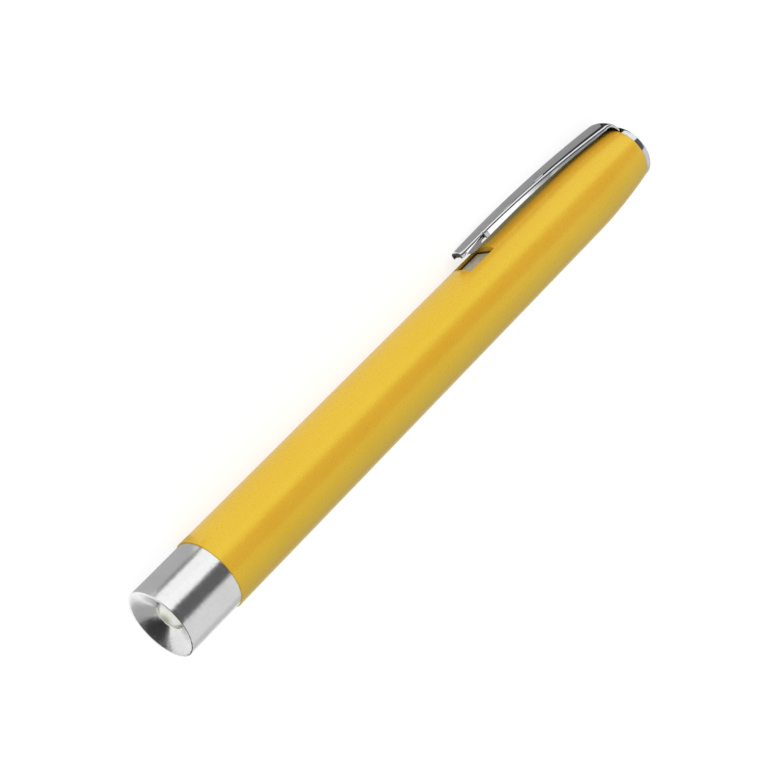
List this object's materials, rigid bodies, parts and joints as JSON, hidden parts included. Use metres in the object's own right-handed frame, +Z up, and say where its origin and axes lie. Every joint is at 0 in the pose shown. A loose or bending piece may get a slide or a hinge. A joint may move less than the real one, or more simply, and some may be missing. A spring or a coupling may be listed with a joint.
{
  "type": "penlight",
  "caption": "Slim pocket penlight: tapered metal barrel, screw-on reflector head with an LED, and a sprung chrome pocket clip that is pressed to switch it on.",
  "frame": {"origin": "middle of the pen's length and width, on the surface that the pen lies on", "axes": "+X along the pen from the tail to the lamp head, +Z up from the surface, on which the pen lies on its barrel and on one edge of its pocket clip, which is towards -Y"},
  "size_m": [0.136, 0.016, 0.014],
  "materials": {
    "yellow_lacquer": "gloss",
    "turned_aluminium": "polished",
    "clear_epoxy": "gloss",
    "tinned_steel": "satin",
    "phosphor": "matte",
    "white_plastic": "satin",
    "board_green": "satin",
    "black_plastic": "satin",
    "brass": "satin",
    "nickel": "satin",
    "chrome": "polished",
    "cell_steel": "satin",
    "cell_mass": "matte",
    "cell_jacket": "satin"
  },
  "bodies": {
    "barrel": {"barrel": "yellow_lacquer", "cell_sleeve": "white_plastic", "battery_spring": "nickel", "contact_strip": "nickel", "tail_plug": "white_plastic", "tail_screw": "tinned_steel", "tail_cap": "chrome"},
    "clip": {"clip": "chrome", "contact_nose": "chrome"},
    "cells": {"front_cell_can": "cell_steel", "front_cell_core": "cell_mass", "front_cell_jacket": "cell_jacket", "front_cell_seal": "black_plastic", "front_cell_base": "cell_steel", "rear_cell_can": "cell_steel", "rear_cell_core": "cell_mass", "rear_cell_jacket": "cell_jacket", "rear_cell_seal": "black_plastic", "rear_cell_base": "cell_steel"},
    "head": {"lamp_head": "turned_aluminium", "led_lens": "clear_epoxy", "led_leads": "tinned_steel", "led_chip": "phosphor", "led_holder": "white_plastic", "circuit_board": "board_green", "series_resistor": "black_plastic", "retaining_ring": "brass", "contact_insulator": "black_plastic", "front_contact": "brass"}
  },
  "joints": [
    {"name": "clip_press", "type": "hinge", "parent": "barrel", "child": "clip", "pos_m": [-0.0669, -0.00248, 0.00458], "axis": [0, -0.5751, 0.8181], "range_deg": [-6, 2], "stiffness_Nm_per_rad": 1.5},
    {"name": "cell_advance", "type": "slide", "parent": "barrel", "child": "cells", "axis": [1, 0, 0], "range_m": [0, 0.006], "deforming": ["battery_spring"]},
    {"name": "head_turn", "type": "hinge", "parent": "cells", "child": "head", "pos_m": [0.0559, 0.00096, 0.007], "axis": [1, 0, 0], "range_deg": [0, 2880]}
  ],
  "couplings": [
    {"joint": "head_turn", "follows": "cell_advance", "rad_per_m": 8377.6}
  ]
}
